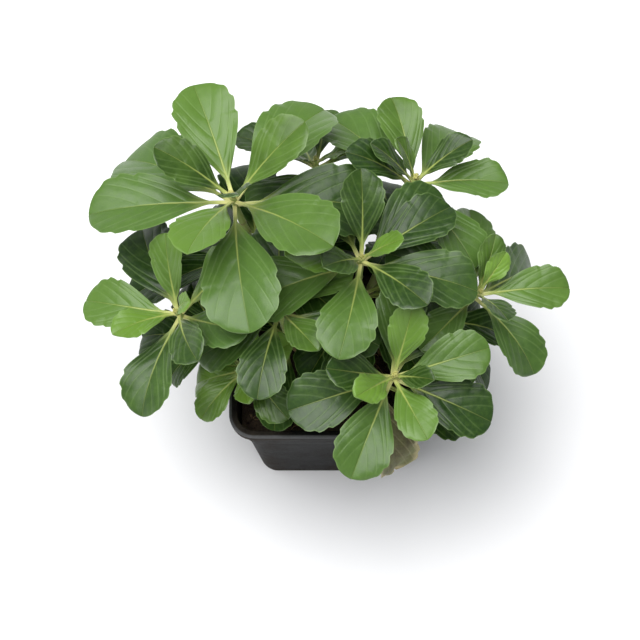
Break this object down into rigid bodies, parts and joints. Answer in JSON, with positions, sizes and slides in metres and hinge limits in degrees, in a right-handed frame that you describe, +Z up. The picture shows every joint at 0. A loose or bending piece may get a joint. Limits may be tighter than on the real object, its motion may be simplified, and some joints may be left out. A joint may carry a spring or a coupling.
{
  "type": "potted japanese spurge",
  "caption": "Evergreen groundcover plant in a square black nursery pot: leafy upright shoots, each topped by a rosette of toothed, spoon-shaped leaves.",
  "frame": {"origin": "middle of the pot's flat underside", "axes": "+Z up, from the pot's underside through the soil to the foliage; -Y is the front of the plant as pictured, +X its right"},
  "size_m": [0.2144, 0.18, 0.1884],
  "materials": {
    "pot": "satin",
    "soil": "matte",
    "stem": "satin",
    "leaf": "satin",
    "young_leaf": "satin"
  },
  "bodies": {
    "root": {"pot": "pot", "soil": "soil", "back_left_stem": "stem", "back_left_whorl": "leaf", "back_left_upper_stem": "stem", "back_left_rosette": "leaf", "middle_stem": "stem", "middle_whorl": "leaf", "middle_upper_stem": "stem", "middle_rosette": "leaf", "back_right_stem": "stem", "back_right_whorl": "leaf", "back_right_upper_stem": "stem", "back_right_rosette": "leaf", "middle_left_stem": "stem", "middle_left_whorl": "leaf", "middle_left_upper_stem": "stem", "middle_left_rosette": "leaf", "front_right_stem": "stem", "front_right_whorl": "leaf", "front_right_upper_stem": "stem", "front_right_rosette": "leaf", "left_stem": "stem", "left_whorl": "leaf", "left_upper_stem": "stem", "left_rosette": "leaf", "right_stem": "stem", "right_whorl": "leaf", "right_upper_stem": "stem", "right_rosette": "leaf", "back_stem": "stem", "back_whorl": "leaf", "back_upper_stem": "stem", "back_rosette": "leaf", "front_left_stem": "stem", "front_left_rosette": "young_leaf"}
  },
  "joints": []
}
